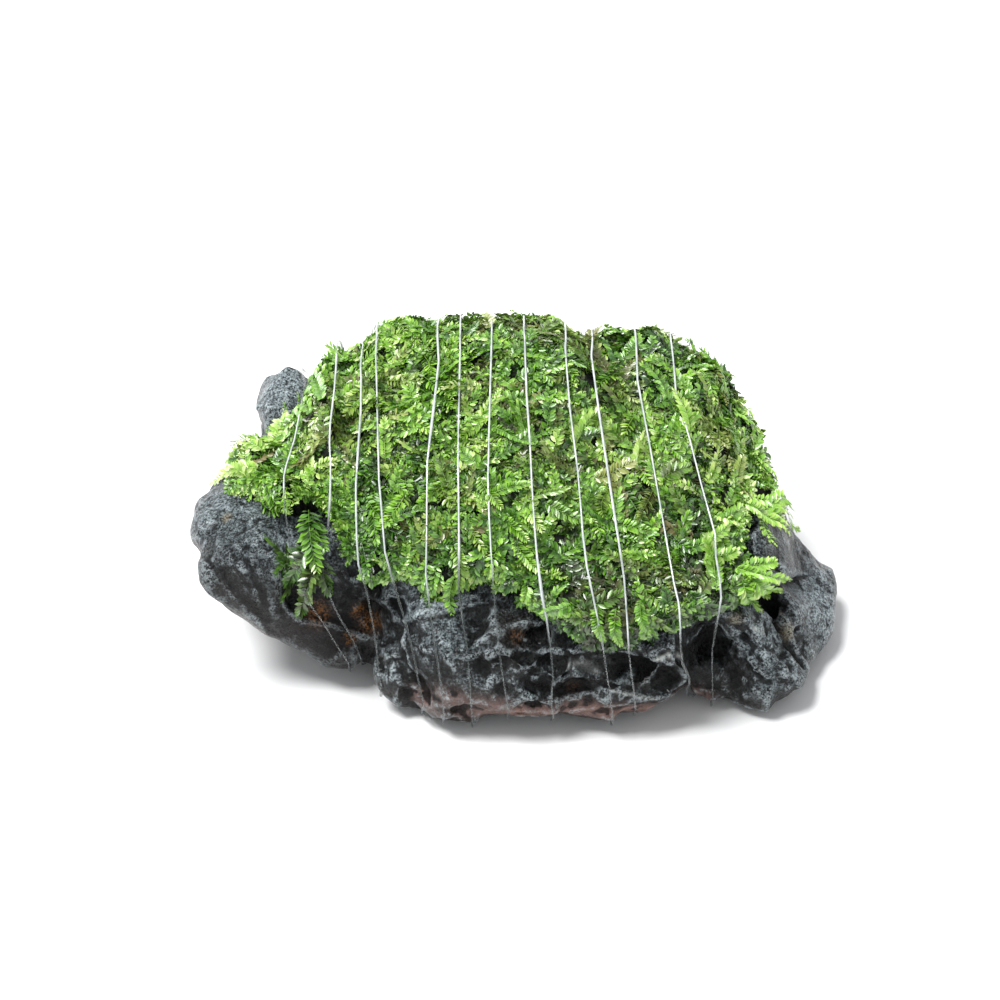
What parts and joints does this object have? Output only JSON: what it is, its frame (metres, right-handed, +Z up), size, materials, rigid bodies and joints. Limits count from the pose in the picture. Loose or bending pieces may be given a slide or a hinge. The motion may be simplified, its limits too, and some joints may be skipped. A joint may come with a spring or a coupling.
{
  "type": "willow moss on stone",
  "caption": "Rugged dark aquarium stone with a mat of willow moss bound over its top by clear line.",
  "frame": {"origin": "middle of the bounding box on the surface the stone stands on", "axes": "+X along the stone's length to the right as pictured, -Y towards the bare front, +Z up"},
  "size_m": [0.0956, 0.0634, 0.043],
  "materials": {
    "stone": "rugged, wet, blue-grey to brown-black",
    "moss": "wet leafy fronds, yellow-green to dark olive",
    "clear_line": "clear, glossy"
  },
  "bodies": {
    "root": {"stone": "stone", "moss_mat": "moss", "binding_line": "clear_line"}
  },
  "joints": []
}
